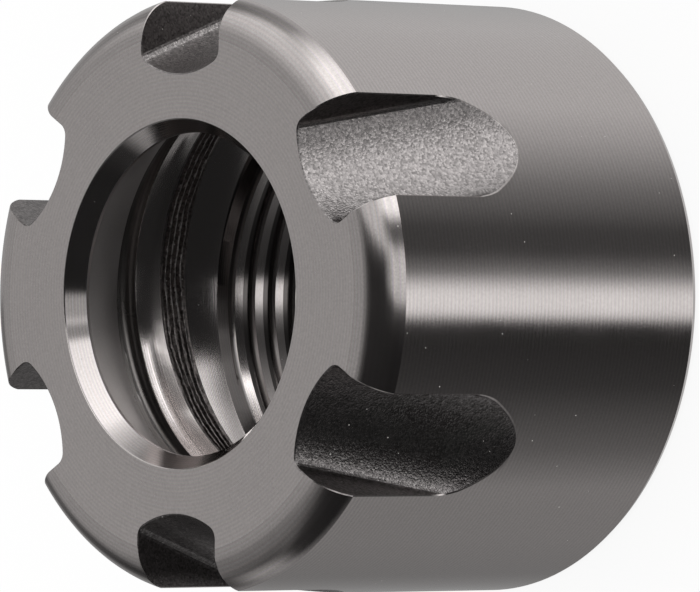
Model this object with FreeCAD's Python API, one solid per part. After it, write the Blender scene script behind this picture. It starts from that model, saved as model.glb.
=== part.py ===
import FreeCAD, Part
import math
import os

# Castle-slotted collet nut, one turned and milled piece of steel, in millimetres.
# The nut axis is Z. The threaded rear face lies on Z = 0 and the slotted front face points to +Z.
# Depths called "deep" are measured from the front face towards the rear.

# Body of revolution
nut_diameter = 16.0
nut_length = 11.5
front_edge_width = 1.1
front_edge_drop = 0.85
rear_bevel_length = 0.2
rear_bevel_height = 0.12

# Front bore, for the nose of the collet
mouth_diameter = 9.32
mouth_bevel_depth = 0.5
nose_bore_diameter = 8.6
nose_land_length = 0.1

# Clamping cone, it widens from the nose bore towards the rear and ends in a plain relief
clamp_half_angle = 30.0
relief_diameter = 10.88
relief_length = 0.5

# Undercut behind the cone, off centre and cut by a tool with a round nose.
# Its rear side rises to a plain crown, in a hollow and a rounded edge of the tool's radius.
undercut_offset = 0.27
undercut_radius = 0.4
undercut_rise_angle = 28.0
crown_diameter = 11.28
crown_length = 0.4

# Eccentric extraction ring, it is highest on the -X side and fades out on the +X side
ring_offset = 0.47
ring_lead_length = 0.45
ring_land_length = 1.2
ring_front_diameter = 11.3
ring_rear_diameter = 11.92

# Thread M13 x 0.75 with a runout groove in front of it, the bore stands at the minor diameter
thread_major_diameter = 13.0
thread_pitch = 0.75
groove_diameter = 12.9
groove_length = 1.6
groove_half_angle = 45.0
lead_in_diameter = 13.3
lead_in_half_angle = 45.0

# Wrench slots, open at the front face and running out at the outer diameter
slot_count = 6
slot_width = 3.06
slot_depth = 2.15
slot_floor_bow_radius = 3.0
slot_corner_radius = 0.35
slot_floor_angle = 20.5

# How far a cutting body reaches past the surface that it opens
reach = 1.0

outer_radius = nut_diameter / 2.0
slot_floor_radius = outer_radius - slot_depth
nose_radius = nose_bore_diameter / 2.0
relief_radius = relief_diameter / 2.0
crown_radius = crown_diameter / 2.0
groove_radius = groove_diameter / 2.0
minor_radius = (thread_major_diameter - 1.0825 * thread_pitch) / 2.0


def vec(radius, height):
    """Point of the section plane, X is the radius and Z the height."""
    return FreeCAD.Vector(radius, 0.0, height)


def tan_deg(angle):
    """Tangent of an angle in degrees."""
    return math.tan(math.radians(angle))


def arc_drop(angle):
    """Radial drop of the undercut's arc from its summit to where it slopes by the angle."""
    return undercut_radius * (1.0 - math.cos(math.radians(angle)))


def arc_run(angle):
    """Length along the axis of the undercut's arc from its summit to where it slopes by the angle."""
    return undercut_radius * math.sin(math.radians(angle))


def spin(edges):
    """Full turn of a closed section about the nut axis."""
    section = Part.Face(Part.Wire(edges))
    return section.revolve(vec(0.0, 0.0), FreeCAD.Vector(0.0, 0.0, 1.0), 360.0)


def closed_outline(points):
    """Straight edges through the points and back to the first one."""
    following = points[1:] + points[:1]
    return [Part.makeLine(start, end) for start, end in zip(points, following)]


# Depths of the steps of the bore, each one follows from the step before it
cone_slope = tan_deg(clamp_half_angle)
cone_start_deep = mouth_bevel_depth + nose_land_length
cone_end_deep = cone_start_deep + (relief_radius - nose_radius) / cone_slope
relief_end_deep = cone_end_deep + relief_length
undercut_start_deep = relief_end_deep - undercut_radius
rise_deep = relief_end_deep + arc_run(undercut_rise_angle)
crown_start_deep = rise_deep + arc_run(undercut_rise_angle)
lead_start_deep = crown_start_deep + crown_length
ring_start_deep = lead_start_deep + ring_lead_length
ring_end_deep = ring_start_deep + ring_land_length
groove_end_deep = ring_end_deep + groove_length
groove_wall_length = (groove_radius - minor_radius) / tan_deg(groove_half_angle)
thread_start_deep = groove_end_deep + groove_wall_length


def height_at(deep):
    """Height above the rear face of a place that lies so deep behind the front face."""
    return nut_length - deep


def turned_body():
    """Outer shape, with the rounded front edge and the small rear bevel."""
    edge_radius = (front_edge_width**2 + front_edge_drop**2) / (2.0 * front_edge_drop)
    half_angle = math.atan2(front_edge_drop, front_edge_width)
    flat_radius = outer_radius - front_edge_width
    middle_radius = flat_radius + edge_radius * math.sin(half_angle)
    middle_height = nut_length - edge_radius * (1.0 - math.cos(half_angle))
    rear_rim = vec(outer_radius - rear_bevel_height, 0.0)
    bevel_top = vec(outer_radius, rear_bevel_length)
    rounding_start = vec(outer_radius, nut_length - front_edge_drop)
    rounding_middle = vec(middle_radius, middle_height)
    flat_rim = vec(flat_radius, nut_length)
    edges = [
        Part.makeLine(vec(0.0, 0.0), rear_rim),
        Part.makeLine(rear_rim, bevel_top),
        Part.makeLine(bevel_top, rounding_start),
        Part.Arc(rounding_start, rounding_middle, flat_rim).toShape(),
        Part.makeLine(flat_rim, vec(0.0, nut_length)),
        Part.makeLine(vec(0.0, nut_length), vec(0.0, 0.0)),
    ]
    return spin(edges)


def front_bore():
    """Mouth bevel, nose bore, clamping cone and relief, bored on the nut axis."""
    mouth_radius = mouth_diameter / 2.0
    mouth_slope = (mouth_radius - nose_radius) / mouth_bevel_depth
    points = [
        vec(0.0, nut_length + reach),
        vec(mouth_radius + reach * mouth_slope, nut_length + reach),
        vec(nose_radius, height_at(mouth_bevel_depth)),
        vec(nose_radius, height_at(cone_start_deep)),
        vec(relief_radius, height_at(cone_end_deep)),
        vec(relief_radius, height_at(relief_end_deep)),
        vec(0.0, height_at(relief_end_deep)),
    ]
    return spin(closed_outline(points))


def undercut():
    """Groove behind the relief with its crown, turned about its own axis and moved towards +X."""
    hollow_radius = crown_radius + 2.0 * arc_drop(undercut_rise_angle)
    half_rise = undercut_rise_angle / 2.0
    front_middle = vec(0.0, height_at(undercut_start_deep))
    front_rim = vec(hollow_radius - undercut_radius, height_at(undercut_start_deep))
    wall_middle = vec(hollow_radius - arc_drop(45.0), height_at(relief_end_deep - arc_run(45.0)))
    hollow = vec(hollow_radius, height_at(relief_end_deep))
    hollow_middle = vec(hollow_radius - arc_drop(half_rise), height_at(relief_end_deep + arc_run(half_rise)))
    rise = vec(crown_radius + arc_drop(undercut_rise_angle), height_at(rise_deep))
    edge_middle = vec(crown_radius + arc_drop(half_rise), height_at(crown_start_deep - arc_run(half_rise)))
    crown_start = vec(crown_radius, height_at(crown_start_deep))
    lead_start = vec(crown_radius, height_at(lead_start_deep))
    rear_middle = vec(0.0, height_at(lead_start_deep))
    edges = [
        Part.makeLine(front_middle, front_rim),
        Part.Arc(front_rim, wall_middle, hollow).toShape(),
        Part.Arc(hollow, hollow_middle, rise).toShape(),
        Part.Arc(rise, edge_middle, crown_start).toShape(),
        Part.makeLine(crown_start, lead_start),
        Part.makeLine(lead_start, rear_middle),
        Part.makeLine(rear_middle, front_middle),
    ]
    groove = spin(edges)
    groove.translate(vec(undercut_offset, 0.0))
    return groove


def rear_bore():
    """Runout groove, thread bore and its lead-in, bored on the nut axis."""
    lead_in_radius = lead_in_diameter / 2.0
    lead_in_slope = tan_deg(lead_in_half_angle)
    points = [
        vec(0.0, height_at(ring_end_deep)),
        vec(groove_radius, height_at(ring_end_deep)),
        vec(groove_radius, height_at(groove_end_deep)),
        vec(minor_radius, height_at(thread_start_deep)),
        vec(minor_radius, (lead_in_radius - minor_radius) / lead_in_slope),
        vec(lead_in_radius + reach * lead_in_slope, -reach),
        vec(0.0, -reach),
    ]
    return spin(closed_outline(points))


def ring_section(radius, offset, deep):
    """Closed circle across the bore, moved sideways by the offset."""
    centre = FreeCAD.Vector(offset, 0.0, height_at(deep))
    circle = Part.Circle(centre, FreeCAD.Vector(0.0, 0.0, 1.0), radius)
    return Part.Wire([circle.toShape()])


def ring_bore():
    """Bore of the extraction ring, it runs from the crown to the offset land and along it."""
    lead_front = ring_section(crown_radius, undercut_offset, lead_start_deep)
    land_front = ring_section(ring_front_diameter / 2.0, ring_offset, ring_start_deep)
    land_rear = ring_section(ring_rear_diameter / 2.0, ring_offset, ring_end_deep)
    lead = Part.makeLoft([lead_front, land_front], True, True)
    land = Part.makeLoft([land_front, land_rear], True, True)
    return lead.fuse(land)


def slot_cutter():
    """Cutter for the slot on the +X side, it slants outwards towards the rear."""
    half_width = slot_width / 2.0
    bow_centre = slot_floor_radius + slot_floor_bow_radius
    corner_reach = slot_floor_bow_radius - slot_corner_radius
    corner_side = half_width - slot_corner_radius
    corner_drop = math.sqrt(corner_reach**2 - corner_side**2)
    corner_centre = bow_centre - corner_drop
    touch_scale = slot_floor_bow_radius / corner_reach
    floor_touch_side = corner_side * touch_scale
    floor_touch_radius = bow_centre - corner_drop * touch_scale
    bisector_angle = math.atan2(corner_side, corner_drop) / 2.0 + math.radians(45.0)
    corner_mid_side = corner_side + slot_corner_radius * math.sin(bisector_angle)
    corner_mid_radius = corner_centre - slot_corner_radius * math.cos(bisector_angle)
    slope = tan_deg(slot_floor_angle)
    outer_reach = outer_radius + 2.0 * reach + slot_width
    run_out = (outer_reach - slot_floor_radius) / slope

    def at(radius, side):
        """Point of the section plane above the front face."""
        return FreeCAD.Vector(radius - reach * slope, side, nut_length + reach)

    wall_right = at(corner_centre, half_width)
    wall_left = at(corner_centre, -half_width)
    touch_right = at(floor_touch_radius, floor_touch_side)
    touch_left = at(floor_touch_radius, -floor_touch_side)
    middle_right = at(corner_mid_radius, corner_mid_side)
    middle_left = at(corner_mid_radius, -corner_mid_side)
    edges = [
        Part.makeLine(at(outer_reach, -half_width), wall_left),
        Part.Arc(wall_left, middle_left, touch_left).toShape(),
        Part.Arc(touch_left, at(slot_floor_radius, 0.0), touch_right).toShape(),
        Part.Arc(touch_right, middle_right, wall_right).toShape(),
        Part.makeLine(wall_right, at(outer_reach, half_width)),
        Part.makeLine(at(outer_reach, half_width), at(outer_reach, -half_width)),
    ]
    section = Part.Face(Part.Wire(edges))
    return section.extrude(FreeCAD.Vector(slope, 0.0, -1.0) * run_out)


def build_nut():
    """The whole nut as one solid."""
    bore = front_bore().fuse([undercut(), ring_bore(), rear_bore()])
    nut = turned_body().cut(bore)
    cutter = slot_cutter()
    for index in range(slot_count):
        turned = cutter.copy()
        turned.rotate(vec(0.0, 0.0), FreeCAD.Vector(0.0, 0.0, 1.0), index * 360.0 / slot_count)
        nut = nut.cut(turned)
    return nut.Solids[0]


os.makedirs("parts", exist_ok=True)
build_nut().exportStep("parts/collet_nut.step")
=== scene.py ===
"""Looks of a castle-slotted collet nut of turned steel, standing on its threaded rear face."""

import logging
import math
from dataclasses import dataclass, field
from enum import Enum

import bmesh
import bpy
import numpy as np
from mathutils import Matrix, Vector, noise


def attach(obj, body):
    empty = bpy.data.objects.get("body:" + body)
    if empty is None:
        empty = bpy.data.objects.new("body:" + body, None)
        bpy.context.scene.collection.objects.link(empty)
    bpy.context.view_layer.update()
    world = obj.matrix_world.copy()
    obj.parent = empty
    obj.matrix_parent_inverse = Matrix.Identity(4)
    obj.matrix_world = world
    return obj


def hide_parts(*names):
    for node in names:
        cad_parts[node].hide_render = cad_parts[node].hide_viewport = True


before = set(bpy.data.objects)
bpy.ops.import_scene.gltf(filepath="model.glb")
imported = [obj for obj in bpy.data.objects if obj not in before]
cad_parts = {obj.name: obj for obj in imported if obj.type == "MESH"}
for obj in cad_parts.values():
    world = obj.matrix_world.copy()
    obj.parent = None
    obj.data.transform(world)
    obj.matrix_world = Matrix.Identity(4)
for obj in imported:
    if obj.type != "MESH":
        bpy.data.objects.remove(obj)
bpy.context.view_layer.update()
LOG = logging.getLogger("collet_nut")
MM = 0.001
WELD_MM = 0.0004  # points nearer than this become one
LEVEL_MM = 0.001  # heights nearer than this are the same
NOISE_LOW, NOISE_HIGH = 0.3, 0.7  # a noise texture seldom leaves this range


class Skin(Enum):
    """Machined surfaces of the nut, each value is its material slot on the mesh."""

    TURNED = 0
    FACED = 1
    BLASTED = 2
    SCALED = 3
    BORED = 4
    TORN = 5
    RELIEVED = 6
    CUT_THREAD = 7
    CHAMFERED = 8
    BURNISHED = 9
    TORN_RIDGE = 10
    REAMED = 11
    ROUNDED = 12


class Ray(Enum):
    """Kinds of light ray that a stage object can answer, named as the object's own switches."""

    CAMERA = "visible_camera"
    DIFFUSE = "visible_diffuse"
    GLOSSY = "visible_glossy"
    TRANSMISSION = "visible_transmission"
    SHADOW = "visible_shadow"


def linear(code: str) -> tuple[float, float, float, float]:
    """Turns an sRGB colour into the linear one that shaders take.

    Args:
        code: The colour as a hex string, such as "#c8c6c3".

    Returns:
        Linear red, green, blue and an alpha of 1.
    """
    parts = [int(code[i : i + 2], 16) / 255.0 for i in (1, 3, 5)]
    red, green, blue = (p / 12.92 if p <= 0.04045 else ((p + 0.055) / 1.055) ** 2.4 for p in parts)
    return red, green, blue, 1.0


def bands_scale(period_mm: float) -> float:
    """Works out a wave texture's scale from the real distance between two lines.

    Args:
        period_mm: Distance from line to line in millimetres.

    Returns:
        The scale that gives this distance on coordinates in metres.
    """
    return 2.0 * math.pi / (20.0 * period_mm * MM)


def grain_scale(size_mm: float) -> float:
    """Works out a noise texture's scale from the real size of a grain.

    Args:
        size_mm: Size of one grain in millimetres.

    Returns:
        The scale that gives this size on coordinates in metres.
    """
    return 1.0 / (size_mm * MM)


def add_node(tree: bpy.types.NodeTree, kind: str, values: dict, links: dict | None = None) -> bpy.types.Node:
    """Adds one node with its settings and links.

    Args:
        tree: The node tree that gets the node.
        kind: The node's type name.
        values: Settings by name. A name that is an input sets that input, any other an attribute.
        links: Source sockets by the name or number of the input that they feed.

    Returns:
        The new node.
    """
    node = tree.nodes.new(kind)
    for name, value in values.items():
        if not isinstance(name, int) and hasattr(node, name):
            setattr(node, name, value)
        else:
            node.inputs[name].default_value = value
    for name, source in (links or {}).items():
        tree.links.new(source, node.inputs[name])
    return node


def new_material(name: str) -> tuple[bpy.types.Material, bpy.types.NodeTree]:
    """Makes an empty node material.

    Args:
        name: The material's name.

    Returns:
        The material and its node tree.
    """
    material = bpy.data.materials.new(name)
    material.use_nodes = True
    material.node_tree.nodes.clear()
    return material, material.node_tree


@dataclass(frozen=True)
class WorkshopDust:
    """Sparse pale grains that lie on the bare metal and don't shine."""

    colour: str = "#c9c6c2"
    cell_mm: float = 0.35
    # Real dust is about 0.01 mm across. It is drawn 0.03 mm across, or it wouldn't show in the render.
    full_mm: float = 0.01225
    end_mm: float = 0.01925

    def add(
        self, tree: bpy.types.NodeTree, place: bpy.types.NodeSocket, tone: bpy.types.NodeSocket, share: float
    ) -> tuple[bpy.types.NodeSocket, bpy.types.NodeSocket]:
        """Adds the dust to a metal.

        Args:
            tree: Node tree of the material.
            place: Position on the piece.
            tone: Colour of the bare metal.
            share: Share of the cells that hold a grain.

        Returns:
            How metallic each point is, and its colour.
        """
        cells = add_node(
            tree, "ShaderNodeTexVoronoi", {"Scale": grain_scale(self.cell_mm), "Randomness": 1.0}, {"Vector": place}
        )
        core = add_node(
            tree,
            "ShaderNodeMapRange",
            {"From Min": self.end_mm / self.cell_mm, "From Max": self.full_mm / self.cell_mm},
            {"Value": cells.outputs["Distance"]},
        )
        lot = add_node(tree, "ShaderNodeSeparateColor", {}, {0: cells.outputs["Color"]})
        drawn = add_node(tree, "ShaderNodeMath", {"operation": "LESS_THAN", 1: share}, {0: lot.outputs[0]})
        grain = add_node(
            tree, "ShaderNodeMath", {"operation": "MULTIPLY"}, {0: core.outputs[0], 1: drawn.outputs[0]}
        )
        bare = add_node(tree, "ShaderNodeMath", {"operation": "SUBTRACT", 0: 1.0}, {1: grain.outputs[0]})
        colour = add_node(
            tree,
            "ShaderNodeMix",
            {"data_type": "RGBA", 7: linear(self.colour)},
            {0: grain.outputs[0], 6: tone},
        )
        return bare.outputs[0], colour.outputs[2]


@dataclass(frozen=True)
class TurnedSteel:
    """Bare tool steel, finish-turned on a lathe: feed lines run round the nut and blur reflections along its axis."""

    name: str = "steel_finish_turned"
    colour: str = "#e1dad8"
    roughness: float = 0.13
    # Spread of a reflection across the feed lines, which draws highlights out along the nut.
    spread: float = 0.3
    # A real finishing feed is 0.03 to 0.07 mm, which wouldn't show in the render, so it is drawn about twice
    # as coarse here and in the finishes that follow from this one.
    feed_mm: float = 0.135
    feed_depth_mm: float = 0.0006
    # Chatter between the feed lines comes and goes over this many of them.
    chatter_feeds: float = 7.0
    # Single fine scratches of the cutting edge, true to size.
    scratch_mm: float = 0.03
    scratch_depth_mm: float = 0.0005
    along_axis: bool = True
    streak: float = 0.2
    # Carbide flecks in the steel are about 0.01 mm, drawn as coarse as a pixel.
    fleck_mm: float = 0.06
    fleck: float = 0.22
    # Patches that a hand or a rag left clearer or duller, as shares of the roughness.
    cloud_mm: float = 2.4
    clearest: float = 0.85
    dullest: float = 1.2
    dust: float = 0.35
    # Painted shade in the roots of the thread: a darker colour from this radius outwards. 0 is none.
    root_shade_radius_mm: float = 0.0
    root_shade_border_mm: float = 0.05
    root_shade_share: float = 0.8
    root_shade_colour: str = "#2b2827"
    # Matt band below this height, deeper in the bore: rougher and darker in colour. 0 is none.
    matt_height_mm: float = 0.0
    matt_border_mm: float = 0.35
    matt_roughness: float = 0.24
    matt_colour: str = "#9c9795"

    def make(self) -> bpy.types.Material:
        """Builds the material.

        Returns:
            The finished material.
        """
        material, tree = new_material(self.name)
        place = add_node(tree, "ShaderNodeTexCoord", {})
        split = add_node(tree, "ShaderNodeSeparateXYZ", {}, {0: place.outputs["Object"]})
        way = split.outputs["Z"]
        if self.root_shade_radius_mm or not self.along_axis:
            flat = add_node(tree, "ShaderNodeCombineXYZ", {}, {0: split.outputs["X"], 1: split.outputs["Y"]})
            radius = add_node(tree, "ShaderNodeVectorMath", {"operation": "LENGTH"}, {0: flat.outputs[0]})
        if not self.along_axis:
            way = radius.outputs["Value"]
        ruler = add_node(tree, "ShaderNodeCombineXYZ", {}, {0: way})
        feed = add_node(
            tree,
            "ShaderNodeTexWave",
            {"bands_direction": "X", "Scale": bands_scale(self.feed_mm), "Distortion": 0.0},
            {"Vector": ruler.outputs[0]},
        )
        scratch = add_node(
            tree,
            "ShaderNodeTexNoise",
            {"noise_dimensions": "1D", "Scale": grain_scale(self.scratch_mm), "Detail": 3.0, "Roughness": 0.7},
            {"W": way},
        )
        wide = add_node(
            tree,
            "ShaderNodeTexNoise",
            {"noise_dimensions": "1D", "Scale": grain_scale(self.feed_mm * self.chatter_feeds), "Detail": 2.0},
            {"W": way},
        )
        cloud = add_node(
            tree,
            "ShaderNodeTexNoise",
            {"Scale": grain_scale(self.cloud_mm), "Detail": 3.0},
            {"Vector": place.outputs["Object"]},
        )
        feed_strength = add_node(
            tree, "ShaderNodeMath", {"operation": "MULTIPLY"}, {0: feed.outputs["Fac"], 1: wide.outputs["Fac"]}
        )
        bump_feed = add_node(
            tree,
            "ShaderNodeBump",
            {"Strength": 1.0, "Distance": self.feed_depth_mm * MM},
            {"Height": feed_strength.outputs[0]},
        )
        bump_scratch = add_node(
            tree,
            "ShaderNodeBump",
            {"Strength": 1.0, "Distance": self.scratch_depth_mm * MM},
            {"Height": scratch.outputs["Fac"], "Normal": bump_feed.outputs[0]},
        )
        rough = add_node(
            tree,
            "ShaderNodeMapRange",
            {
                "From Min": NOISE_LOW,
                "From Max": NOISE_HIGH,
                "To Min": self.roughness * self.clearest,
                "To Max": self.roughness * self.dullest,
            },
            {"Value": cloud.outputs["Fac"]},
        )
        if self.matt_height_mm:
            matt = add_node(
                tree,
                "ShaderNodeMapRange",
                {
                    "interpolation_type": "SMOOTHSTEP",
                    "From Min": (self.matt_height_mm + self.matt_border_mm) * MM,
                    "From Max": self.matt_height_mm * MM,
                },
                {"Value": split.outputs["Z"]},
            )
            rough = add_node(
                tree,
                "ShaderNodeMix",
                {"data_type": "FLOAT", 3: self.matt_roughness},
                {0: matt.outputs[0], 2: rough.outputs[0]},
            )
        fleck = add_node(
            tree,
            "ShaderNodeTexNoise",
            {"Scale": grain_scale(self.fleck_mm), "Detail": 2.0},
            {"Vector": place.outputs["Object"]},
        )
        tone = add_node(
            tree,
            "ShaderNodeMix",
            {"data_type": "RGBA", "blend_type": "MULTIPLY", "Factor": self.streak, 6: linear(self.colour)},
            {7: scratch.outputs["Color"]},
        )
        for pattern, share in ((feed.outputs["Fac"], self.streak * 0.5), (fleck.outputs["Fac"], self.fleck)):
            tone = add_node(
                tree,
                "ShaderNodeMix",
                {"data_type": "RGBA", "blend_type": "MULTIPLY", "Factor": share},
                {6: tone.outputs[2], 7: pattern},
            )
        if self.matt_height_mm:
            tone = add_node(
                tree,
                "ShaderNodeMix",
                {"data_type": "RGBA", 7: linear(self.matt_colour)},
                {0: matt.outputs[0], 6: tone.outputs[2]},
            )
        # Painted shade: the thread roots darken from this radius outwards.
        if self.root_shade_radius_mm:
            root_shade = add_node(
                tree,
                "ShaderNodeMapRange",
                {
                    "From Min": self.root_shade_radius_mm * MM,
                    "From Max": (self.root_shade_radius_mm + self.root_shade_border_mm) * MM,
                    "To Max": self.root_shade_share,
                },
                {"Value": radius.outputs["Value"]},
            )
            tone = add_node(
                tree,
                "ShaderNodeMix",
                {"data_type": "RGBA", 7: linear(self.root_shade_colour)},
                {0: root_shade.outputs[0], 6: tone.outputs[2]},
            )
        around = add_node(tree, "ShaderNodeTangent", {"direction_type": "RADIAL", "axis": "Z"})
        bare, tone_dusty = WorkshopDust().add(tree, place.outputs["Object"], tone.outputs[2], self.dust)
        shader = add_node(
            tree,
            "ShaderNodeBsdfPrincipled",
            {"Anisotropic": self.spread, "Anisotropic Rotation": 0.25},
            {
                "Metallic": bare,
                "Base Color": tone_dusty,
                "Roughness": rough.outputs[0],
                "Normal": bump_scratch.outputs[0],
                "Tangent": around.outputs[0],
            },
        )
        add_node(tree, "ShaderNodeOutputMaterial", {}, {"Surface": shader.outputs[0]})
        return material


@dataclass(frozen=True)
class BlastedSteel:
    """Forged and grit-blasted steel in the wrench slots: a coarse matt grain with small glints."""

    name: str = "steel_grit_blasted"
    colour: str = "#b3aead"
    roughness: float = 0.27
    # Dents of a medium blasting grit, true to size, with finer pits inside them.
    grit_mm: float = 0.055
    grit_depth_mm: float = 0.011
    pit_share: float = 0.7
    # How dark the dirtiest dents are beside the clean ones.
    darkest: float = 0.32
    dust: float = 0.5

    def make(self) -> bpy.types.Material:
        """Builds the material.

        Returns:
            The finished material.
        """
        material, tree = new_material(self.name)
        place = add_node(tree, "ShaderNodeTexCoord", {})
        grit = add_node(
            tree,
            "ShaderNodeTexVoronoi",
            {"Scale": grain_scale(self.grit_mm), "Randomness": 1.0},
            {"Vector": place.outputs["Object"]},
        )
        pits = add_node(
            tree,
            "ShaderNodeTexNoise",
            {"Scale": grain_scale(self.grit_mm * self.pit_share), "Detail": 3.0, "Roughness": 0.6},
            {"Vector": place.outputs["Object"]},
        )
        height = add_node(
            tree,
            "ShaderNodeMix",
            {"data_type": "FLOAT", "Factor": 0.5},
            {2: grit.outputs["Distance"], 3: pits.outputs["Fac"]},
        )
        bump = add_node(
            tree,
            "ShaderNodeBump",
            {"Strength": 1.0, "Distance": self.grit_depth_mm * MM},
            {"Height": height.outputs[0]},
        )
        dirt = add_node(
            tree,
            "ShaderNodeMapRange",
            {"To Min": self.darkest},
            {"Value": grit.outputs["Color"]},
        )
        tone = add_node(
            tree,
            "ShaderNodeMix",
            {"data_type": "RGBA", "blend_type": "MULTIPLY", "Factor": 1.0, 6: linear(self.colour)},
            {7: dirt.outputs[0]},
        )
        bare, tone_dusty = WorkshopDust().add(tree, place.outputs["Object"], tone.outputs[2], self.dust)
        shader = add_node(
            tree,
            "ShaderNodeBsdfPrincipled",
            {"Roughness": self.roughness},
            {"Metallic": bare, "Base Color": tone_dusty, "Normal": bump.outputs[0]},
        )
        add_node(tree, "ShaderNodeOutputMaterial", {}, {"Surface": shader.outputs[0]})
        return material


@dataclass(frozen=True)
class NutSizes:
    """Sizes of the nut in millimetres, the same as those of its solid."""

    length: float = 11.5
    radius: float = 8.0
    edge_width: float = 1.1
    edge_drop: float = 0.85
    bevel_length: float = 0.2
    bevel_height: float = 0.12
    mouth_radius: float = 4.66
    mouth_depth: float = 0.5
    nose_radius: float = 4.3
    nose_land: float = 0.1
    cone_half_angle: float = 30.0
    relief_radius: float = 5.44
    relief_length: float = 0.5
    undercut_offset: float = 0.27
    undercut_radius: float = 0.4
    undercut_rise_angle: float = 28.0
    crown_radius: float = 5.64
    crown_length: float = 0.4
    ring_offset: float = 0.47
    ring_lead: float = 0.45
    ring_land: float = 1.2
    ring_front_radius: float = 5.65
    ring_rear_radius: float = 5.96
    groove_radius: float = 6.45
    groove_length: float = 1.6
    minor_radius: float = 6.094
    root_radius: float = 6.26
    pitch: float = 0.75
    crest_flat: float = 0.29
    crest_height: float = 3.15
    root_flat: float = 0.26
    lead_in_radius: float = 6.65
    slot_count: int = 6
    slot_width: float = 3.06
    slot_depth: float = 2.15
    slot_bow_radius: float = 3.0
    slot_corner_radius: float = 0.35
    slot_angle: float = 20.5
    edge_break: float = 0.03


class Surface:
    """Gathers vertices and faces of one welded mesh, in millimetres."""

    def __init__(self) -> None:
        """Starts with nothing in the mesh."""
        self.points: list[tuple[float, float, float]] = []
        self.faces: list[tuple[int, ...]] = []
        self.skins: list[int] = []

    def add_grid(self, rows: list[np.ndarray], skins: list[list[Skin]], closed: bool) -> None:
        """Adds rows of points joined by quads, with the faces looking to the left of the rows' direction.

        Args:
            rows: One array of points per row, all of the same length.
            skins: The skin of each quad, by row and column.
            closed: Whether the last column joins the first one.
        """
        base = len(self.points)
        width = len(rows[0])
        for row in rows:
            self.points.extend(map(tuple, row))
        for i in range(len(rows) - 1):
            for j in range(width if closed else width - 1):
                k = (j + 1) % width
                upper, lower = base + i * width, base + (i + 1) * width
                self.faces.append((upper + j, lower + j, lower + k, upper + k))
                self.skins.append(skins[i][j].value)

    def make(self, name: str, sharp_deg: float, caps: dict[float, Skin]) -> bpy.types.Object:
        """Welds the mesh, closes its flat ends and marks its sharp edges.

        Args:
            name: Name of the object.
            sharp_deg: Edges that turn by more than this angle are sharp.
            caps: Height of each flat end, with its skin.

        Returns:
            The object, linked to the scene, in metres.
        """
        mesh = bpy.data.meshes.new(name)
        mesh.from_pydata(np.array(self.points) * MM, [], self.faces)
        mesh.polygons.foreach_set("material_index", self.skins)
        bm = bmesh.new()
        bm.from_mesh(mesh)
        bmesh.ops.remove_doubles(bm, verts=bm.verts, dist=WELD_MM * MM)
        bmesh.ops.dissolve_degenerate(bm, edges=bm.edges, dist=WELD_MM * MM)
        for height, skin in caps.items():
            rim = [
                edge
                for edge in bm.edges
                if len(edge.link_faces) == 1 and all(abs(v.co.z - height * MM) < LEVEL_MM * MM for v in edge.verts)
            ]
            filled = bmesh.ops.triangle_fill(bm, use_beauty=True, use_dissolve=False, edges=rim)
            for face in filled["geom"]:
                if isinstance(face, bmesh.types.BMFace):
                    face.material_index = skin.value
            for edge in rim:
                edge.smooth = False
        bmesh.ops.recalc_face_normals(bm, faces=bm.faces)
        limit = math.radians(sharp_deg)
        # The torn land and the rubbed lead before it have no edges that a tool left sharp.
        rough = (Skin.TORN.value, Skin.TORN_RIDGE.value, Skin.BURNISHED.value)
        for edge in bm.edges:
            if len(edge.link_faces) != 2:
                continue
            inside = all(face.material_index in rough for face in edge.link_faces)
            if edge.calc_face_angle(0.0) > limit and not inside:
                edge.smooth = False
        for face in bm.faces:
            face.smooth = True
        bm.to_mesh(mesh)
        bm.free()
        piece = bpy.data.objects.new(name, mesh)
        bpy.context.scene.collection.objects.link(piece)
        return piece


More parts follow.
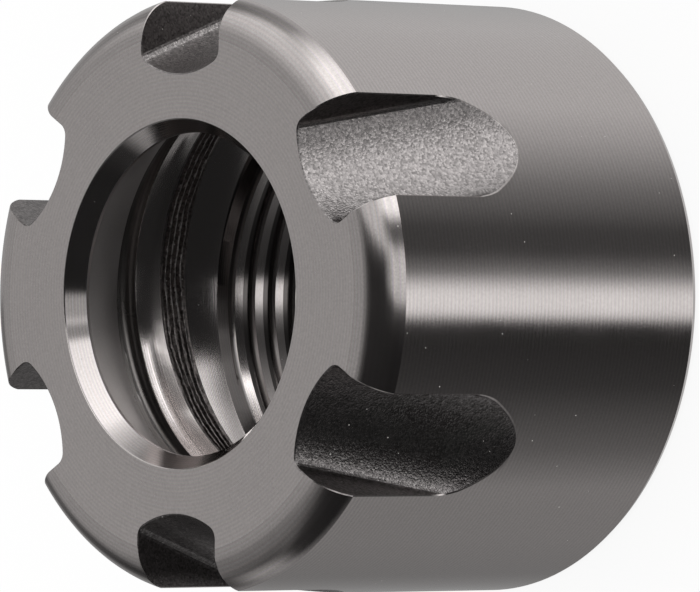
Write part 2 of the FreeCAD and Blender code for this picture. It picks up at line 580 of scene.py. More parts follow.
@dataclass
class WrenchSlot:
    """Section of one wrench slot and the way in which it slants out of the nut."""

    size: NutSizes
    wall_steps: int = 5
    corner_steps: int = 5
    floor_steps: int = 9
    halvings: int = 48

    def __post_init__(self) -> None:
        """Works out where the floor, the corners and the walls of the section meet."""
        s = self.size
        self.bow_centre = s.radius - s.slot_depth + s.slot_bow_radius
        self.corner_side = s.slot_width / 2.0 - s.slot_corner_radius
        reach = s.slot_bow_radius - s.slot_corner_radius
        self.corner_height = self.bow_centre - math.sqrt(reach**2 - self.corner_side**2)
        self.floor_angle = math.atan2(self.corner_side, self.bow_centre - self.corner_height)
        self.slope = math.tan(math.radians(s.slot_angle))

    def lengths(self, grow: float) -> tuple[float, float]:
        """Gives how long the half floor and one corner are.

        Args:
            grow: How far the section is widened on all sides.

        Returns:
            Length along the half floor, and along floor and corner together.
        """
        floor = (self.size.slot_bow_radius + grow) * self.floor_angle
        corner = (self.size.slot_corner_radius + grow) * (math.pi / 2.0 - self.floor_angle)
        return floor, floor + corner

    def point(self, run: float, grow: float) -> tuple[float, float]:
        """Gives a point of the half section.

        Args:
            run: Distance along the section from the middle of the floor.
            grow: How far the section is widened on all sides.

        Returns:
            Its distance from the nut axis and its distance from the middle of the slot.
        """
        floor, corner = self.lengths(grow)
        if run <= floor:
            bow = self.size.slot_bow_radius + grow
            return self.bow_centre - bow * math.cos(run / bow), bow * math.sin(run / bow)
        fillet = self.size.slot_corner_radius + grow
        if run <= corner:
            turn = self.floor_angle + (run - floor) / fillet
            return self.corner_height - fillet * math.cos(turn), self.corner_side + fillet * math.sin(turn)
        return self.corner_height + run - corner, self.corner_side + fillet

    def clip(self, radius: float, shift: float, grow: float) -> float:
        """Finds where the section leaves the nut.

        Args:
            radius: Radius of the nut at this height.
            shift: How far the section has moved outwards at this height.
            grow: How far the section is widened on all sides.

        Returns:
            Distance along the section to the outer surface, 0 where the slot has run out.
        """
        low, high = 0.0, 2.0 * self.size.radius
        if self.point(low, grow)[0] + shift >= radius:
            return 0.0
        for _ in range(self.halvings):
            middle = (low + high) / 2.0
            out, side = self.point(middle, grow)
            if math.hypot(out + shift, side) < radius:
                low = middle
            else:
                high = middle
        return low

    def run_out_depths(self) -> list[float]:
        """Finds where the lines of the floor and corner run out at the outer surface.

        Returns:
            The depth of each line's end behind the front face.
        """
        floor, corner = self.lengths(0.0)
        runs = [floor * i / self.floor_steps for i in range(self.floor_steps)]
        runs += [floor + (corner - floor) * i / self.corner_steps for i in range(self.corner_steps + 1)]
        depths = []
        for run in runs:
            out, side = self.point(run, 0.0)
            depths.append((math.sqrt(self.size.radius**2 - side**2) - out) / self.slope)
        return depths

    def half_row(self, radius: float, shift: float, grow: float) -> list[tuple[float, float]]:
        """Lays out the points of the half slot at one height.

        Args:
            radius: Radius of the nut at this height.
            shift: How far the section has moved outwards.
            grow: How far the section is widened on all sides.

        Returns:
            Points as (x, y) from the middle of the floor to the outer surface.
        """
        floor, corner = self.lengths(grow)
        clip = self.clip(radius, shift, grow)
        cut = min(self.size.edge_break, clip / 2.0)
        inner = clip - cut
        wall = max(0.0, inner - corner)
        runs = [floor * i / self.floor_steps for i in range(self.floor_steps)]
        runs += [floor + (corner - floor) * i / self.corner_steps for i in range(self.corner_steps)]
        runs += [corner + wall * i / self.wall_steps for i in range(self.wall_steps)]
        points = []
        for run in [min(run, inner) for run in runs] + [inner]:
            out, side = self.point(run, grow)
            if clip <= 0.0:
                out, side = radius - shift, 0.0
            points.append((out + shift, side))
        edge_out, edge_side = self.point(clip, grow)
        turn = math.atan2(edge_side, edge_out + shift) if clip > 0.0 else 0.0
        turn += cut / radius
        points.append((radius * math.cos(turn), radius * math.sin(turn)))
        return points


@dataclass
class OuterShell:
    """Outside of the nut: rounded front edge, wrench slots, turned diameter and rear bevel."""

    size: NutSizes
    tooth_steps: int = 15
    edge_steps: int = 12
    plain_step: float = 0.3
    least_step: float = 0.012

    def __post_init__(self) -> None:
        """Makes the slot and works out the radius of the front rounding."""
        s = self.size
        self.slot = WrenchSlot(s)
        self.edge_radius = (s.edge_width**2 + s.edge_drop**2) / (2.0 * s.edge_drop)

    def radius_at(self, depth: float) -> float:
        """Gives the outer radius at a depth behind the front face.

        Args:
            depth: Distance behind the front face.

        Returns:
            The radius of the turned surface there.
        """
        s = self.size
        if depth < s.edge_drop:
            reach = math.sqrt(self.edge_radius**2 - (self.edge_radius - depth) ** 2)
            return min(s.radius, s.radius - s.edge_width + reach)
        rear = depth - (s.length - s.bevel_length)
        return s.radius - max(0.0, rear) * s.bevel_height / s.bevel_length

    def depths(self) -> list[float]:
        """Lists the depths of all rows.

        Returns:
            The depths from the front face to the rear face, none closer together than the least step.
        """
        s = self.size
        last = math.acos(1.0 - s.edge_drop / self.edge_radius)
        steps = range(self.edge_steps + 1)
        wanted = [self.edge_radius * (1.0 - math.cos(last * i / self.edge_steps)) for i in steps]
        wanted.append(s.edge_break)
        run_out = self.slot.run_out_depths()
        wanted += run_out
        end = s.length - s.bevel_length
        count = int((end - s.edge_drop) / self.plain_step)
        wanted += [s.edge_drop + (end - s.edge_drop) * i / count for i in range(count + 1)]
        wanted += [s.length]
        kept: list[float] = []
        exact = {0.0, round(s.edge_drop, 6), round(end, 6), round(s.length, 6)}
        exact |= {round(d, 6) for d in run_out}
        for depth in sorted(wanted):
            depth = round(depth, 6)
            if kept and depth - kept[-1] < self.least_step:
                if depth in exact and kept[-1] not in exact:
                    kept[-1] = depth
                continue
            kept.append(depth)
        return kept

    def row(self, depth: float) -> tuple[np.ndarray, list[Skin]]:
        """Lays out one row of points right round the nut.

        Args:
            depth: Distance behind the front face.

        Returns:
            The points, and the skin behind each column.
        """
        s = self.size
        radius = self.radius_at(depth)
        grow = max(0.0, s.edge_break - depth)
        half = self.slot.half_row(radius, self.slot.slope * depth, grow)
        start = math.atan2(half[-1][1], half[-1][0])
        tooth_end = math.pi / s.slot_count
        tooth = []
        for i in range(1, self.tooth_steps):
            turn = start + (tooth_end - start) * i / self.tooth_steps
            tooth.append((radius * math.cos(turn), radius * math.sin(turn)))
        right = half + tooth
        left = [(x, -y) for x, y in reversed(right[1:])]
        joint = [(radius * math.cos(tooth_end), radius * math.sin(tooth_end))]
        sector = left + right + joint
        wall = [Skin.SCALED] * (self.slot.wall_steps + self.slot.corner_steps // 2)
        floor = [Skin.BLASTED] * (2 * (len(half) - 2 - len(wall)))
        turned = Skin.ROUNDED if depth < s.edge_drop - LEVEL_MM else Skin.TURNED
        before = [turned] * (len(tooth) + 1)
        after = [turned] * (len(tooth) + 3)
        inside = before + wall + floor + wall + after
        points, flags = [], []
        for k in range(s.slot_count):
            c, n = math.cos(2.0 * tooth_end * k), math.sin(2.0 * tooth_end * k)
            points += [(x * c - y * n, x * n + y * c, s.length - depth) for x, y in sector]
            flags += inside
        return np.array(points), flags

    def build(self, surface: Surface) -> None:
        """Adds the outside to the mesh.

        Args:
            surface: The mesh that gets the rows.
        """
        rows, skins = zip(*(self.row(depth) for depth in self.depths()))
        surface.add_grid(list(rows), list(skins[:-1]), closed=True)


@dataclass
class Bore:
    """Inside of the nut: mouth, clamping cone, off-centre extraction ring, runout groove and thread."""

    size: NutSizes
    columns: int = 288
    undercut_steps: int = 9
    torn_step: float = 0.03
    torn_lines: int = 5
    torn_depth: float = 0.05
    # Waves of the torn metal per millimetre, round the ring and along it. The tool smeared the metal round,
    # so there are fewer that way.
    sway_per_mm: float = 0.8
    grain_per_mm: tuple[float, float] = (4.5, 9.0)
    fine_per_mm: tuple[float, float] = (9.0, 16.0)
    # How far the torn lines wander with the sway and the grain, and how much lines, grain and fine tears count.
    wander: tuple[float, float] = (0.4, 0.2)
    counts: tuple[float, float, float] = (0.8, 0.15, 0.45)
    # The tears fade out over one sixth of the land at either side.
    fade_rate: float = 6.0
    # Torn metal higher than this gets the ridge skin with its painted highlight, the rest the land's painted shade.
    highlight_ridge_height: float = 0.026
    # Shares of the edge break that the mouth's edge takes from the face and from the bevel.
    mouth_break: tuple[float, float] = (0.3, 0.4)
    # Share of the undercut's rise, at its top, that is rubbed bright like the crown; the rest keeps the undercut's
    # painted shade.
    rubbed_share: float = 0.35
    thread_steps: int = 3

    def reach(self, turn: np.ndarray, radius: float, offset: float) -> np.ndarray:
        """Gives the distance from the nut axis to a circle that is off centre.

        Args:
            turn: Angles about the nut axis.
            radius: Radius of the circle about its own centre.
            offset: How far its centre lies from the axis, towards +X.

        Returns:
            The distance at each angle.
        """
        return offset * np.cos(turn) + np.sqrt(radius**2 - (offset * np.sin(turn)) ** 2)

    def tear(self, turn: float, depth: float, share: float) -> float:
        """Gives the height of the torn metal on the land of the ring.

        Args:
            turn: Angle about the nut axis.
            depth: Distance behind the front face.
            share: Place across the land, from 0 at the front to 1 at the rear.

        Returns:
            How far the metal stands into the bore.
        """
        r = self.size.ring_front_radius
        x, y = r * math.cos(turn), r * math.sin(turn)
        both = self.sway_per_mm
        sway = noise.noise(Vector((x * both, y * both, depth * both)))
        around, along = self.grain_per_mm
        grain = noise.noise(Vector((x * around, y * around, depth * along)))
        around, along = self.fine_per_mm
        fine = noise.noise(Vector((x * around + 5.0, y * around, depth * along)))
        phase = share * self.torn_lines + self.wander[0] * sway + self.wander[1] * grain
        lines = math.cos(2.0 * math.pi * phase)
        fade = min(1.0, self.fade_rate * share, self.fade_rate * (1.0 - share))
        return self.torn_depth * fade * (self.counts[0] * lines + self.counts[1] * grain + self.counts[2] * fine)

    def front_rows(self) -> tuple[list[np.ndarray], list[list[Skin]]]:
        """Lays out the rows from the mouth to the thread.

        Returns:
            Rows of points and the skins behind each row, by column.
        """
        s = self.size
        turn = 2.0 * math.pi * np.arange(self.columns) / self.columns
        ones = np.ones(self.columns)
        brk = s.edge_break
        slope = (s.mouth_radius - s.nose_radius) / s.mouth_depth
        cone = s.mouth_depth + s.nose_land
        tool, rise = s.undercut_radius, math.radians(s.undercut_rise_angle)
        relief = cone + (s.relief_radius - s.nose_radius) / math.tan(math.radians(s.cone_half_angle))
        hollow = relief + s.relief_length
        hollow_radius = s.crown_radius + 2.0 * tool * (1.0 - math.cos(rise))
        crown = hollow + 2.0 * tool * math.sin(rise)
        lead = crown + s.crown_length
        ring = lead + s.ring_lead
        land_end = ring + s.ring_land
        groove_end = land_end + s.groove_length
        plan: list[tuple[float, np.ndarray, Skin | list[Skin]]] = []

        def stretch(d0: float, r0: np.ndarray, d1: float, r1: np.ndarray, steps: int, skin: Skin) -> None:
            """Adds evenly spaced rows of one stretch of the bore, without its last row.

            Args:
                d0: Depth where the stretch starts.
                r0: Radii there.
                d1: Depth where it ends.
                r1: Radii there.
                steps: Number of rows.
                skin: Skin of the whole stretch.
            """
            for i in range(steps):
                share = i / steps
                plan.append((d0 + (d1 - d0) * share, r0 + (r1 - r0) * share, skin))

        wide, low = brk * self.mouth_break[0], brk * self.mouth_break[1]
        stretch(0.0, ones * (s.mouth_radius + wide), low, ones * s.mouth_radius, 1, Skin.FACED)
        stretch(low, ones * s.mouth_radius, brk, ones * (s.mouth_radius - brk * slope), 1, Skin.CHAMFERED)
        stretch(brk, ones * (s.mouth_radius - brk * slope), s.mouth_depth, ones * s.nose_radius, 3, Skin.CHAMFERED)
        stretch(s.mouth_depth, ones * s.nose_radius, cone, ones * s.nose_radius, 2, Skin.BORED)
        stretch(cone, ones * s.nose_radius, relief, ones * s.relief_radius, 10, Skin.BORED)
        plan.append((relief, ones * s.relief_radius, Skin.REAMED))
        plan.append((hollow - tool, ones * s.relief_radius, Skin.REAMED))
        for i in range(self.undercut_steps):
            bend = math.pi / 2.0 * (1.0 - i / self.undercut_steps)
            wall = self.reach(turn, hollow_radius - tool * (1.0 - math.cos(bend)), s.undercut_offset)
            plan.append((hollow - tool * math.sin(bend), np.maximum(wall, s.relief_radius), Skin.REAMED))
        for i in range(self.undercut_steps):
            bend = rise * i / self.undercut_steps
            radius = hollow_radius - tool * (1.0 - math.cos(bend))
            plan.append((hollow + tool * math.sin(bend), self.reach(turn, radius, s.undercut_offset), Skin.REAMED))
        for i in range(self.undercut_steps):
            bend = rise * (1.0 - i / self.undercut_steps)
            radius = s.crown_radius + tool * (1.0 - math.cos(bend))
            skin = Skin.BURNISHED if bend < rise * self.rubbed_share else Skin.REAMED
            plan.append((crown - tool * math.sin(bend), self.reach(turn, radius, s.undercut_offset), skin))
        crown_row = self.reach(turn, s.crown_radius, s.undercut_offset)
        stretch(crown, crown_row, lead, crown_row, 2, Skin.BURNISHED)
        front = self.reach(turn, s.ring_front_radius, s.ring_offset)
        rear = self.reach(turn, s.ring_rear_radius, s.ring_offset)
        stretch(lead, crown_row, ring, front, 1, Skin.BURNISHED)
        steps = int(s.ring_land / self.torn_step)
        for i in range(steps + 1):
            share = i / steps
            depth = ring + s.ring_land * share
            radius = front + (rear - front) * share
            relief = np.array([self.tear(t, depth, share) for t in turn])
            # Ridge tips get a painted highlight, the land between them painted shade.
            skins = [Skin.TORN_RIDGE if height > self.highlight_ridge_height else Skin.TORN for height in relief]
            plan.append((depth, radius - relief, skins if i < steps else Skin.RELIEVED))
        stretch(land_end, ones * s.groove_radius, groove_end, ones * s.groove_radius, 5, Skin.RELIEVED)
        plan.append((groove_end, ones * s.groove_radius, Skin.RELIEVED))
        rows = []
        for depth, radius, _ in plan:
            height = ones * (s.length - depth)
            rows.append(np.stack([radius * np.cos(turn), radius * np.sin(turn), height], axis=1))
        return rows, [skin if isinstance(skin, list) else [skin] * self.columns for _, _, skin in plan]

    def thread_rows(self, top: float) -> list[np.ndarray]:
        """Lays out the helical rows of the thread, from the runout groove to the rear face.

        Args:
            top: Height of the end of the runout groove.

        Returns:
            Rows of points, each one climbs by one pitch in a full turn.
        """
        s = self.size
        flank = (s.pitch - s.crest_flat - s.root_flat) / 2.0
        marks = [
            (0.0, s.minor_radius),
            (s.crest_flat, s.minor_radius),
            (s.crest_flat + flank, s.root_radius),
            (s.pitch - flank, s.root_radius),
        ]
        profile: list[tuple[float, float]] = []
        for (z0, r0), (z1, r1) in zip(marks, marks[1:] + [(s.pitch, s.minor_radius)]):
            steps = 1 if abs(r1 - r0) < 1e-9 else self.thread_steps
            profile += [(z0 + (z1 - z0) * i / steps, r0 + (r1 - r0) * i / steps) for i in range(steps)]
        turn = 2.0 * math.pi * np.arange(self.columns + 1) / self.columns
        start = math.fmod(s.crest_height - s.crest_flat / 2.0, s.pitch) - s.pitch / 4.0
        climb = start + s.pitch * turn / (2.0 * math.pi)
        levels = [(n * s.pitch + z, r) for n in range(-2, int(top / s.pitch) + 2) for z, r in profile]
        rows = []
        # Each row climbs with the thread. What lies past either end of the thread is laid flat on that end.
        for z, r in reversed(levels):
            height = z + climb
            radius = np.full(turn.shape, r)
            wanted = np.clip(height, 0.0, top)
            clipped = height != wanted
            if clipped.all() and rows and np.allclose(rows[-1][:, 2], wanted):
                continue
            # Both ends are cut at 45 degrees: the lead-in at the rear face and the wall of the groove.
            cone = s.lead_in_radius - wanted
            entry = s.groove_radius - (top - wanted)
            radius = np.maximum(np.maximum(radius, cone), np.minimum(entry, s.groove_radius))
            radius = np.where(wanted >= top, s.groove_radius, radius)
            radius = np.where(wanted <= 0.0, s.lead_in_radius, radius)
            rows.append(np.stack([radius * np.cos(turn), radius * np.sin(turn), wanted], axis=1))
        return rows

    def build(self, surface: Surface) -> None:
        """Adds the bore to the mesh.

        Args:
            surface: The mesh that gets the rows.
        """
        rows, skins = self.front_rows()
        surface.add_grid(rows, skins, closed=True)
        thread = self.thread_rows(float(rows[-1][0][2]))
        skins = [[Skin.CUT_THREAD] * self.columns for _ in thread[1:]]
        surface.add_grid(thread, skins, closed=False)


@dataclass
class ColletNut:
    """The whole nut, one piece of steel."""

    size: NutSizes = field(default_factory=NutSizes)
    sharp_deg: float = 12.5

    def build(self) -> bpy.types.Object:
        """Builds the mesh of the nut.

        Returns:
            The nut's object.
        """
        surface = Surface()
        OuterShell(self.size).build(surface)
        Bore(self.size).build(surface)
        caps = {self.size.length: Skin.FACED, 0.0: Skin.FACED}
        return surface.make("collet_nut_dressed", self.sharp_deg, caps)

    def dress(self, piece: bpy.types.Object) -> None:
        """Gives every machined surface its own finish.

        Args:
            piece: The nut's object.
        """
        finishes = {
            # Turned outside: light grey with fine rings, its highlights drawn out along the nut.
            Skin.TURNED: TurnedSteel(),
            # Faced ends: an even satin grey, with rings round the mouth and fine flecks.
            Skin.FACED: TurnedSteel(
                name="steel_faced",
                roughness=0.3,
                feed_mm=0.11,
                feed_depth_mm=0.0004,
                streak=0.16,
                fleck=0.3,
                dust=0.1,
                along_axis=False,
            ),
            # Rounding turned with a form tool: the face's grain, polished enough to mirror the light panels.
            Skin.ROUNDED: TurnedSteel(
                name="steel_edge_turned",
                roughness=0.16,
                feed_mm=0.11,
                feed_depth_mm=0.0005,
                fleck=0.3,
                dust=0.1,
                along_axis=False,
            ),
            # Blasted slot floors: sparkling grey grain that goes dark away from the light.
            Skin.BLASTED: BlastedSteel(),
            # Slot walls with the forging's scale still on: the same grain, darker and duller.
            Skin.SCALED: BlastedSteel(name="steel_forging_scale", colour="#8f8a89", roughness=0.34),
            # Bored clamping cone: a soft dark sheen without sharp highlights.
            Skin.BORED: TurnedSteel(
                name="steel_bored", colour="#c6c0be", roughness=0.34, spread=0.2, feed_mm=0.09
            ),
            # Crown and lead, rubbed bright by the collets, rougher and darker in colour further in: long clear light
            # stripes.
            Skin.BURNISHED: TurnedSteel(
                name="steel_rubbed_bright",
                roughness=0.14,
                spread=0.2,
                feed_mm=0.09,
                feed_depth_mm=0.0004,
                matt_height_mm=7.35,
            ),
            # Undercut that nothing rubs: a dark hollow, its darker colour painted shade.
            Skin.REAMED: TurnedSteel(
                name="steel_undercut_painted_shade",
                colour="#75716f",
                roughness=0.32,
                spread=0.1,
                feed_mm=0.09,
                feed_depth_mm=0.0004,
            ),
            # Mouth bevel, cut last: the brightest mirror on the nut, streaked by its feed.
            Skin.CHAMFERED: TurnedSteel(
                name="steel_chamfered", roughness=0.11, spread=0.4, feed_mm=0.07, feed_depth_mm=0.0005
            ),
            # Runout groove cut by a plunging tool: clear dark reflections with strong streaks.
            Skin.RELIEVED: TurnedSteel(
                name="steel_grooved",
                roughness=0.11,
                spread=0.05,
                feed_mm=0.06,
                feed_depth_mm=0.0004,
                streak=0.3,
            ),
            # Torn land of the ring: rough metal, darkened between the ridges with painted shade.
            Skin.TORN: BlastedSteel(name="steel_torn_painted_shade", colour="#6a6462", roughness=0.3, grit_mm=0.06),
            # Tips of the torn ridges: paler, a painted highlight.
            Skin.TORN_RIDGE: BlastedSteel(
                name="steel_torn_ridge_painted_highlight", colour="#aaa4a2", roughness=0.45, grit_mm=0.06
            ),
            # Cut thread: bright crests and flanks over roots darkened with painted shade.
            Skin.CUT_THREAD: TurnedSteel(
                name="steel_thread_cut",
                roughness=0.14,
                feed_mm=0.05,
                feed_depth_mm=0.0003,
                root_shade_radius_mm=6.14,
            ),
        }
        for skin in Skin:
            piece.data.materials.append(finishes[skin].make())


@dataclass(frozen=True)
class Horizon:
    """Brightness of the studio right round the nut, at one height above or below the horizon.

    Angles are in degrees from -Y, the side that the photograph was taken from, towards +X.
    """

    stops: tuple[tuple[float, float], ...]

    def add(self, tree: bpy.types.NodeTree, around: bpy.types.NodeSocket) -> bpy.types.NodeSocket:
        """Adds the brightness to the sky's nodes.

        Args:
            tree: Node tree of the sky.
            around: The angle about the nut, from 0 at -180 degrees to 1 at 180 degrees.

        Returns:
            The brightness.
        """
        ramp = add_node(tree, "ShaderNodeValToRGB", {}, {"Fac": around})
        marks = ramp.color_ramp.elements
        marks.remove(marks[1])
        marks[0].position = 0.0
        for index, (angle, level) in enumerate(self.stops):
            place = angle / 360.0 + 0.5
            mark = marks[0] if index == 0 else marks.new(place)
            mark.position = place
            mark.color = (level, level, level, 1.0)
        return ramp.outputs["Color"]


@dataclass(frozen=True)
class Border:
    """Soft border between two parts of the sky, crossed along one axis of the direction looked in."""

    axis: str
    start: float
    end: float

    def join(
        self,
        tree: bpy.types.NodeTree,
        direction: bpy.types.Node,
        before: bpy.types.NodeSocket | float,
        past: bpy.types.NodeSocket | float,
    ) -> bpy.types.NodeSocket:
        """Joins two parts of the sky.

        Args:
            tree: Node tree of the sky.
            direction: Node that gives the X, Y and Z of the direction looked in.
            before: Brightness before the border's start.
            past: Brightness past its end.

        Returns:
            The brightness of the two parts together.
        """
        share = add_node(
            tree,
            "ShaderNodeMapRange",
            {"interpolation_type": "SMOOTHSTEP", "From Min": self.start, "From Max": self.end},
            {"Value": direction.outputs[self.axis]},
        )
        sides = {2: before, 3: past}
        plain = {place: level for place, level in sides.items() if isinstance(level, float)}
        linked = {place: level for place, level in sides.items() if place not in plain}
        mix = add_node(
            tree, "ShaderNodeMix", {"data_type": "FLOAT", **plain}, {0: share.outputs[0], **linked}
        )
        return mix.outputs[0]


@dataclass
class Studio:
    """Pale floor and a soft studio sky with its light panels and dark flags."""

    floor_half_m: float = 0.6
    floor_glow: float = 0.88
    # The floor lies a hair below the nut's rear face, and the cards lie a hair above the floor.
    floor_drop_m: float = 0.00002
    card_lift_m: float = 0.00001
    # Brightness below the nut, on the camera's side and where the floor's paper lights it from behind. Then
    # that of the flag and of the light panel overhead.
    underneath: float = 0.03
    bounce: float = 0.6
    flag: float = 0.012
    high: float = 0.8
    # The middle panels lean over to one side as they rise, between these two heights.
    lean_deg: float = 6.0
    lean_heights: tuple[float, float] = (0.2, 0.7)
    low_to_middle: Border = Border("Z", -0.45, -0.15)
    front_to_rear_floor: Border = Border("Y", 0.05, 0.25)
    floor_to_low: Border = Border("Z", -0.88, -0.76)
    flag_to_high: Border = Border("X", 0.2, 0.27)
    middle_to_upper: Border = Border("Z", 0.3, 0.76)
    front_to_dome: Border = Border("Y", -0.1, 0.35)
    horizon_to_dome: Border = Border("Z", 0.0, 0.3)
    # The dome above and behind the nut goes across it instead of round it: -180 stands for -X, 180 for +X.
    dome: Horizon = Horizon(
        (
            (-175.0, 0.03),
            (-130.0, 0.2),
            (-81.0, 0.24),
            (-50.0, 0.37),
            (-20.0, 0.4),
            (45.0, 0.42),
            (90.0, 0.62),
            (126.0, 0.88),
            (171.0, 1.0),
        )
    )
    low: Horizon = Horizon(
        (
            (-180.0, 0.34),
            (-140.0, 0.22),
            (-110.0, 0.27),
            (-80.0, 0.29),
            (-62.0, 0.155),
            (-35.0, 0.052),
            (-9.5, 0.025),
            (-6.5, 1.12),
            (2.0, 1.12),
            (9.0, 0.24),
            (17.0, 0.07),
            (27.0, 0.072),
            (45.0, 0.24),
            (65.0, 0.52),
            (80.0, 0.65),
            (130.0, 0.62),
            (180.0, 0.34),
        )
    )
    middle: Horizon = Horizon(
        (
            (-180.0, 0.2),
            (-150.0, 0.03),
            (-126.0, 0.05),
            (-116.0, 0.4),
            (-108.0, 0.4),
            (-99.0, 0.03),
            (-80.0, 0.012),
            (-5.0, 0.012),
            (-1.5, 0.84),
            (14.5, 0.84),
            (17.5, 0.08),
            (24.0, 0.08),
            (28.0, 1.65),
            (84.0, 1.65),
            (104.0, 0.4),
            (130.0, 0.2),
            (180.0, 0.42),
        )
    )

    def floor(self) -> None:
        """Lays the pale floor, which shows as white to the camera and keeps the shadow."""
        mesh = bpy.data.meshes.new("studio_floor")
        h = self.floor_half_m
        mesh.from_pydata([(-h, -h, 0.0), (h, -h, 0.0), (h, h, 0.0), (-h, h, 0.0)], [], [(0, 1, 2, 3)])
        # Matt white paper: plain white to the camera, with the nut's soft shadow on it.
        material, tree = new_material("paper_matt_white")
        paper = add_node(tree, "ShaderNodeBsdfDiffuse", {"Color": linear("#ffffff")})
        glow = add_node(tree, "ShaderNodeEmission", {"Color": linear("#ffffff"), "Strength": 1.0})
        path = add_node(tree, "ShaderNodeLightPath", {})
        share = add_node(
            tree,
            "ShaderNodeMath",
            {"operation": "MULTIPLY", 1: self.floor_glow},
            {0: path.outputs["Is Camera Ray"]},
        )
        mix = add_node(
            tree,
            "ShaderNodeMixShader",
            {},
            {0: share.outputs[0], 1: paper.outputs[0], 2: glow.outputs[0]},
        )
        add_node(tree, "ShaderNodeOutputMaterial", {}, {"Surface": mix.outputs[0]})
        mesh.materials.append(material)
        plate = bpy.data.objects.new("studio_floor", mesh)
        plate.location.z = -self.floor_drop_m
        bpy.context.scene.collection.objects.link(plate)
        setattr(plate, Ray.GLOSSY.value, False)

    def sky(self) -> None:
        """Surrounds the scene with plain white, in which only reflections see light panels and dark flags."""
        world = bpy.data.worlds.new("studio_sky")
        world.use_nodes = True
        tree = world.node_tree
        tree.nodes.clear()
        place = add_node(tree, "ShaderNodeTexCoord", {})
        split = add_node(tree, "ShaderNodeSeparateXYZ", {}, {0: place.outputs["Generated"]})
        back = add_node(tree, "ShaderNodeMath", {"operation": "MULTIPLY", 1: -1.0}, {0: split.outputs["Y"]})
        angle = add_node(
            tree, "ShaderNodeMath", {"operation": "ARCTAN2"}, {0: split.outputs["X"], 1: back.outputs[0]}
        )
        around = add_node(
            tree,
            "ShaderNodeMapRange",
            {"From Min": -math.pi, "From Max": math.pi},
            {"Value": angle.outputs[0]},
        )
        turn = around.outputs[0]
        lean = add_node(
            tree,
            "ShaderNodeMapRange",
            {
                "From Min": self.lean_heights[0],
                "From Max": self.lean_heights[1],
                "To Max": -self.lean_deg / 360.0,
            },
            {"Value": split.outputs["Z"]},
        )
        leaning = add_node(tree, "ShaderNodeMath", {"operation": "ADD"}, {0: turn, 1: lean.outputs[0]})
        middle = self.middle.add(tree, leaning.outputs[0])
        lower = self.low_to_middle.join(tree, split, self.low.add(tree, turn), middle)
        below = self.front_to_rear_floor.join(tree, split, self.underneath, self.bounce)
        lower = self.floor_to_low.join(tree, split, below, lower)
        upper = self.flag_to_high.join(tree, split, self.flag, self.high)
        front = self.middle_to_upper.join(tree, split, lower, upper)
        across = add_node(tree, "ShaderNodeMapRange", {"From Min": -1.0}, {"Value": split.outputs["X"]})
        rear = self.front_to_dome.join(tree, split, front, self.dome.add(tree, across.outputs[0]))
        shown = self.horizon_to_dome.join(tree, split, front, rear)
        path = add_node(tree, "ShaderNodeLightPath", {})
        level = add_node(
            tree,
            "ShaderNodeMix",
            {"data_type": "FLOAT", 2: 1.0},
            {0: path.outputs["Is Glossy Ray"], 3: shown},
        )
        glow = add_node(
            tree, "ShaderNodeBackground", {"Color": linear("#ffffff")}, {"Strength": level.outputs[0]}
        )
        add_node(tree, "ShaderNodeOutputWorld", {}, {"Surface": glow.outputs[0]})
        world.cycles.sampling_method = "MANUAL"
        world.cycles.sample_map_resolution = 1024
        bpy.context.scene.world = world

    def card(self, name: str, corners_mm: tuple[tuple[float, float], ...], level: float) -> None:
        """Lays a card on the floor inside the bore, which only the bore's steel reflects.

        Args:
            name: Name of the card.
            corners_mm: Its corners as (x, y) in millimetres.
            level: Its brightness.
        """
        mesh = bpy.data.meshes.new(name)
        mesh.from_pydata([(x * MM, y * MM, 0.0) for x, y in corners_mm], [], [tuple(range(len(corners_mm)))])
        material, tree = new_material(name)
        glow = add_node(tree, "ShaderNodeEmission", {"Color": linear("#ffffff"), "Strength": level})
        add_node(tree, "ShaderNodeOutputMaterial", {}, {"Surface": glow.outputs[0]})
        mesh.materials.append(material)
        sheet = bpy.data.objects.new(name, mesh)
        sheet.location.z = self.card_lift_m
        bpy.context.scene.collection.objects.link(sheet)
        for ray in (Ray.CAMERA, Ray.DIFFUSE, Ray.TRANSMISSION, Ray.SHADOW):
            setattr(sheet, ray.value, False)

    def build(self) -> None:
        """Sets up the floor, the sky and the cards inside the bore."""
        self.floor()
        self.sky()
        # The cards share these borders, so that they meet without a gap.
        edge = ((4.0, -4.4), (3.55, -2.95), (3.4, -1.7), (1.25, 1.3), (1.0, 1.7))
        left = ((-0.55, 1.7), (-1.0, 5.4), (-4.4, 3.9), (-5.9, 0.0), (-4.4, -4.4), (0.0, -6.2))
        self.card("card_black", (*edge, *left), 0.02)
        split = ((2.2, 2.6), (2.2, -0.03))
        self.card("card_white", (*edge[3:], (1.5, 2.2), (1.6, 3.6), (2.2, 4.4), *split), 1.05)
        bound = ((5.4, 2.8), (5.55, 1.2), (5.5, 0.1), (3.85, -2.45))
        bright = (split[1], split[0], (2.2, 4.4), (2.6, 5.0), (4.4, 3.9), *bound, edge[2])
        self.card("card_bright", bright, 2.5)
        self.card("card_grey", (*edge[:3], bound[3], bound[2], bound[1], (6.0, 0.6), (5.0, -3.3)), 0.45)


@dataclass(frozen=True)
class CameraStand:
    """Camera at the photograph's viewing angle, turned on its side as the photograph is."""

    lens_mm: float = 427.4
    sensor_mm: float = 36.0
    place_mm: tuple[float, float, float] = (-1.535, -165.638, 156.855)
    turn_deg: tuple[float, float, float] = (0.867, 47.539, -89.360)

    def build(self) -> None:
        """Sets the camera up."""
        data = bpy.data.cameras.new("photograph_view")
        data.lens = self.lens_mm
        data.sensor_width = self.sensor_mm
        data.clip_start = 0.01
        data.clip_end = 10.0
        camera = bpy.data.objects.new("photograph_view", data)
        camera.location = Vector(self.place_mm) * MM
        camera.rotation_euler = [math.radians(a) for a in self.turn_deg]
        bpy.context.scene.collection.objects.link(camera)
        bpy.context.scene.camera = camera


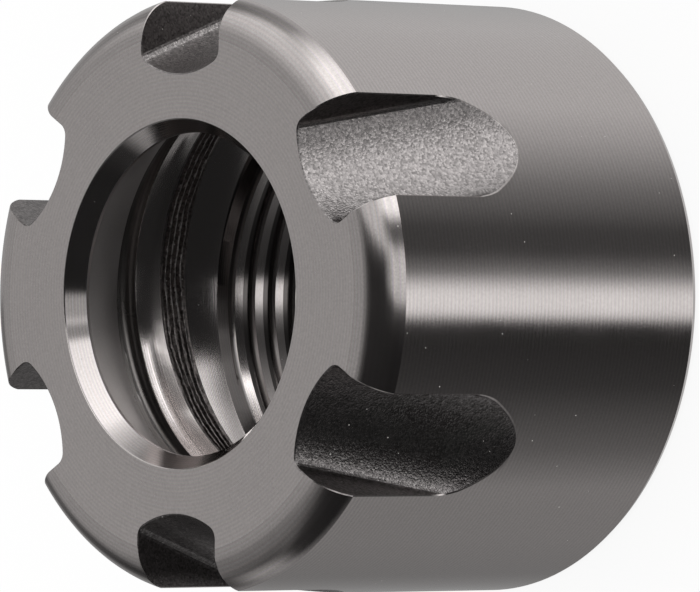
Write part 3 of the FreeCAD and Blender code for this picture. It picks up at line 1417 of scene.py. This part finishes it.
def main() -> None:
    """Builds the nut, its studio and its camera, and logs the size of the nut's mesh."""
    logging.basicConfig(level=logging.INFO, format="%(name)s: %(message)s")
    bpy.context.scene.view_settings.view_transform = "Standard"
    nut = ColletNut()
    piece = nut.build()
    nut.dress(piece)
    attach(piece, "root")
    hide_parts("collet_nut")
    LOG.info("%s: %d vertices, %d faces", piece.name, len(piece.data.vertices), len(piece.data.polygons))
    Studio().build()
    LOG.info("studio: floor, sky and cards")
    CameraStand().build()
    LOG.info("camera: photograph_view")


if __name__ == "__main__":
    main()
